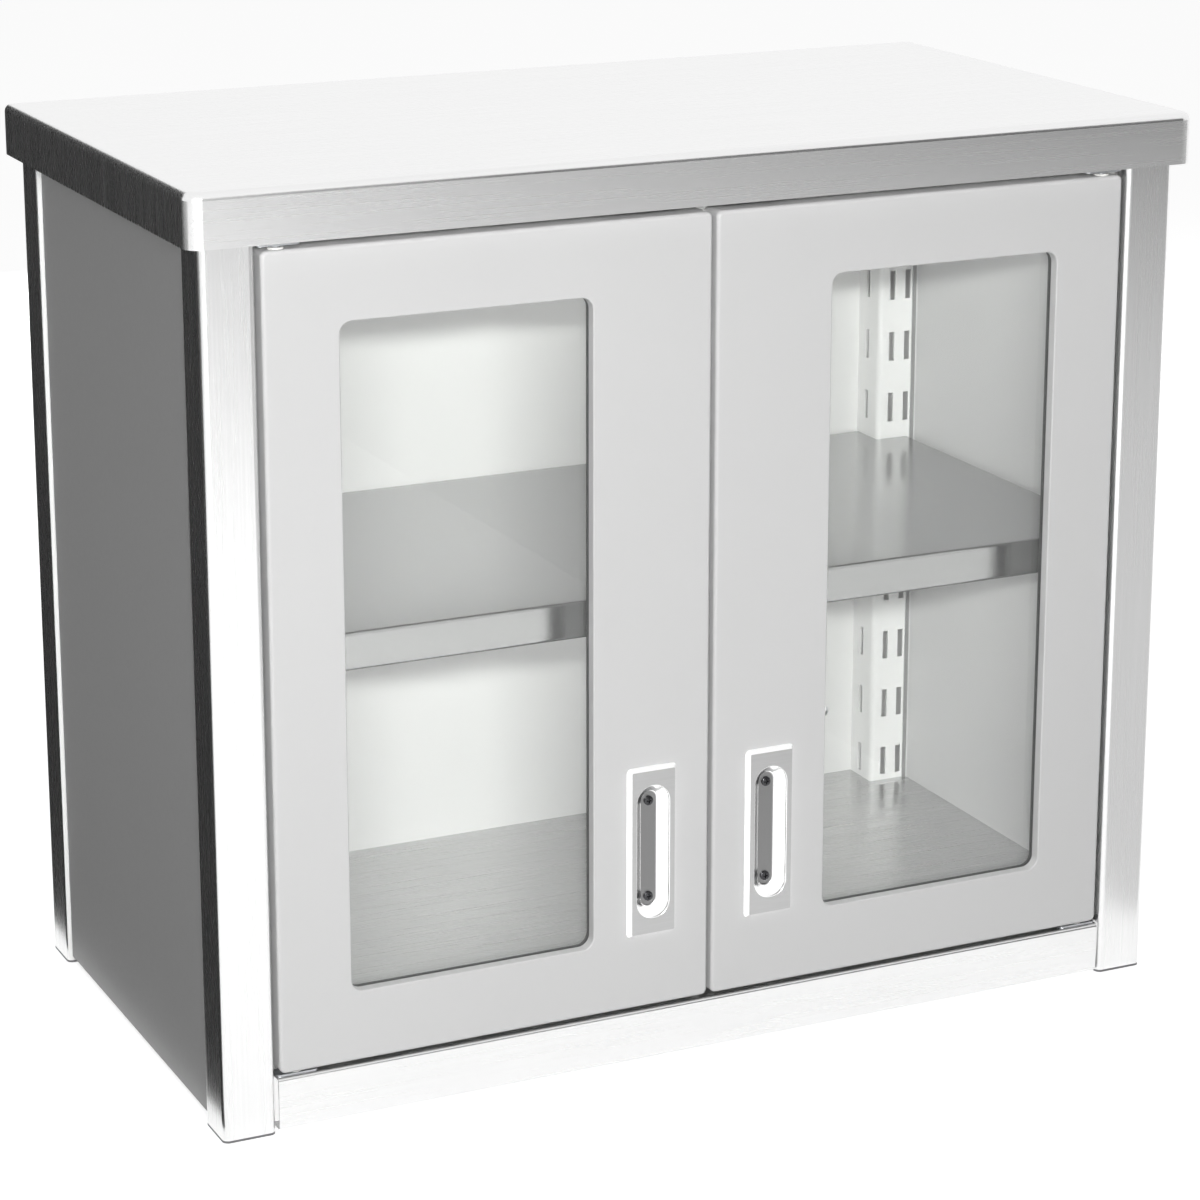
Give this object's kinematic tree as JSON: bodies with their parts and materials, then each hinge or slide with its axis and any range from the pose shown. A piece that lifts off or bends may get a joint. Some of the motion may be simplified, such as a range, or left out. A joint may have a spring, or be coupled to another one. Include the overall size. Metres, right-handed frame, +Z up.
{
  "type": "glass door wall cabinet",
  "caption": "Steel wall cabinet with glazed swing doors on pivots, flush pulls, a lipped shelf hooked into slotted posts and a folded stainless top cap.",
  "frame": {"origin": "middle of the footprint, on the plane that the post end plugs stand on", "axes": "+X to the right as seen from the front, +Y from the doors towards the wall, +Z up"},
  "size_m": [0.7, 0.37, 0.605],
  "materials": {
    "brushed_stainless": "fine brushed stainless sheet",
    "polished_stainless": "satin stainless sheet that mirrors softly",
    "frame_stainless": "brushed stainless tube and sheet",
    "inner_white": "satin white powder coat",
    "panel_grey": "satin mid grey powder coat",
    "dark_zinc": "dark zinc plate",
    "door_grey": "satin light grey powder coat",
    "clear_glass": "clear float glass",
    "grey_rubber": "soft grey glazing gasket",
    "grey_plastic": "moulded grey plastic",
    "white_nylon": "machined white nylon",
    "zinc_steel": "bright zinc plate",
    "satin_steel": "satin pressed stainless",
    "ferrite": "matt ferrite magnet"
  },
  "bodies": {
    "carcass": {"top_cap": "brushed_stainless", "front_header": "frame_stainless", "rear_header": "frame_stainless", "post_end_plugs": "grey_plastic", "ceiling_panel": "inner_white", "back_panel": "inner_white", "upper_wall_rail": "zinc_steel", "lower_wall_rail": "zinc_steel", "floor_tray": "frame_stainless", "shelf": "polished_stainless", "front_left_post": "frame_stainless", "rear_left_post": "frame_stainless", "left_top_rail": "frame_stainless", "left_side_panel": "panel_grey", "left_shelf_rail": "zinc_steel", "left_upper_pivot": "zinc_steel", "left_lower_pivot": "zinc_steel", "left_catch": "grey_plastic", "left_catch_magnet": "ferrite", "front_right_post": "frame_stainless", "rear_right_post": "frame_stainless", "right_top_rail": "frame_stainless", "right_side_panel": "panel_grey", "right_shelf_rail": "zinc_steel", "right_upper_pivot": "zinc_steel", "right_lower_pivot": "zinc_steel", "right_catch": "grey_plastic", "right_catch_magnet": "ferrite"},
    "left_door": {"left_door_skin": "door_grey", "left_door_liner": "door_grey", "left_door_glass": "clear_glass", "left_door_gasket": "grey_rubber", "left_upper_bearing_block": "white_nylon", "left_lower_bearing_block": "white_nylon", "left_pull": "satin_steel", "left_pull_screws": "dark_zinc", "left_pull_clamp": "zinc_steel", "left_strike_plate": "zinc_steel"},
    "right_door": {"right_door_skin": "door_grey", "right_door_liner": "door_grey", "right_door_glass": "clear_glass", "right_door_gasket": "grey_rubber", "right_upper_bearing_block": "white_nylon", "right_lower_bearing_block": "white_nylon", "right_pull": "satin_steel", "right_pull_screws": "dark_zinc", "right_pull_clamp": "zinc_steel", "right_strike_plate": "zinc_steel"}
  },
  "joints": [
    {"name": "left_door_hinge", "type": "hinge", "parent": "carcass", "child": "left_door", "pos_m": [-0.2895, -0.167, 0], "axis": [0, 0, -1], "range_deg": [0, 110]},
    {"name": "right_door_hinge", "type": "hinge", "parent": "carcass", "child": "right_door", "pos_m": [0.2895, -0.167, 0], "axis": [0, 0, 1], "range_deg": [0, 110]}
  ]
}
